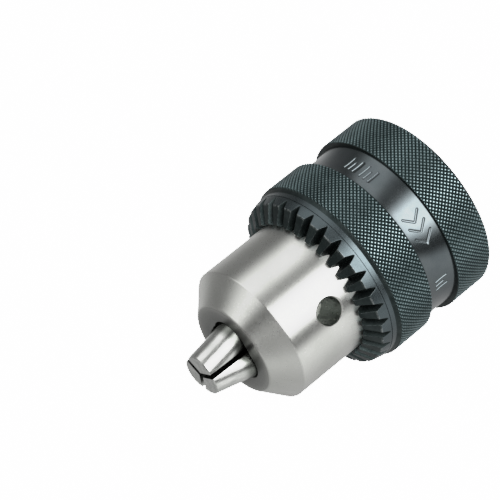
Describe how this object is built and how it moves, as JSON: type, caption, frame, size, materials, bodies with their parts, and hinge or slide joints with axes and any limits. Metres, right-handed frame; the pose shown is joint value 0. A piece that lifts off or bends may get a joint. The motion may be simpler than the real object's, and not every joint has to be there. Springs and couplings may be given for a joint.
{
  "type": "drill chuck",
  "caption": "Keyed drill chuck: knurled blackened sleeve with a gear ring, steel body with key holes and a tapered nose, and jaws that slide together at the tip.",
  "frame": {"origin": "centre of the body's flat rear face, on the spin axis", "axes": "+Z along the spin axis towards the jaws; jaw 1 lies over +X, and the key holes are at 60, 180 and 300 degrees"},
  "size_m": [0.046, 0.046, 0.0688],
  "materials": {
    "body_steel": "satin turned",
    "jaw_steel": "ground and bright",
    "blackened_steel": "black oxide, knurled",
    "nut_steel": "hardened, oiled",
    "bearing_steel": "polished",
    "cage_brass": "pressed"
  },
  "bodies": {
    "chuck_body": {"body": "body_steel", "rear_race": "bearing_steel"},
    "sleeve_and_nut": {"sleeve": "blackened_steel", "nut_half_a": "nut_steel", "nut_half_b": "nut_steel", "front_race": "bearing_steel"},
    "ball_ring": {"ball_cage": "cage_brass", "ball_01": "bearing_steel", "ball_02": "bearing_steel", "ball_03": "bearing_steel", "ball_04": "bearing_steel", "ball_05": "bearing_steel", "ball_06": "bearing_steel", "ball_07": "bearing_steel", "ball_08": "bearing_steel", "ball_09": "bearing_steel", "ball_10": "bearing_steel", "ball_11": "bearing_steel", "ball_12": "bearing_steel", "ball_13": "bearing_steel", "ball_14": "bearing_steel", "ball_15": "bearing_steel", "ball_16": "bearing_steel", "ball_17": "bearing_steel", "ball_18": "bearing_steel", "ball_19": "bearing_steel", "ball_20": "bearing_steel", "ball_21": "bearing_steel", "ball_22": "bearing_steel", "ball_23": "bearing_steel", "ball_24": "bearing_steel"},
    "jaw_1": {"jaw_1": "jaw_steel"},
    "jaw_2": {"jaw_2": "jaw_steel"},
    "jaw_3": {"jaw_3": "jaw_steel"}
  },
  "joints": [
    {"name": "sleeve_turn", "type": "hinge", "parent": "chuck_body", "child": "sleeve_and_nut", "pos_m": [0, 0, 0], "axis": [0, 0, 1], "range_deg": [-664, 4264]},
    {"name": "ball_ring_turn", "type": "hinge", "parent": "chuck_body", "child": "ball_ring", "pos_m": [0, 0, 0.0239], "axis": [0, 0, 1], "range_deg": [-332, 2132]},
    {"name": "jaw_1_slide", "type": "slide", "parent": "chuck_body", "child": "jaw_1", "axis": [0.2419, 0, -0.9703], "range_m": [-0.00277, 0.01777]},
    {"name": "jaw_2_slide", "type": "slide", "parent": "chuck_body", "child": "jaw_2", "axis": [-0.121, 0.2095, -0.9703], "range_m": [-0.00277, 0.01777]},
    {"name": "jaw_3_slide", "type": "slide", "parent": "chuck_body", "child": "jaw_3", "axis": [-0.121, -0.2095, -0.9703], "range_m": [-0.00277, 0.01777]}
  ],
  "couplings": [
    {"joint": "ball_ring_turn", "follows": "sleeve_turn", "ratio": 0.5},
    {"joint": "jaw_1_slide", "follows": "sleeve_turn", "m_per_rad": 0.00023873},
    {"joint": "jaw_2_slide", "follows": "sleeve_turn", "m_per_rad": 0.00023873},
    {"joint": "jaw_3_slide", "follows": "sleeve_turn", "m_per_rad": 0.00023873}
  ]
}
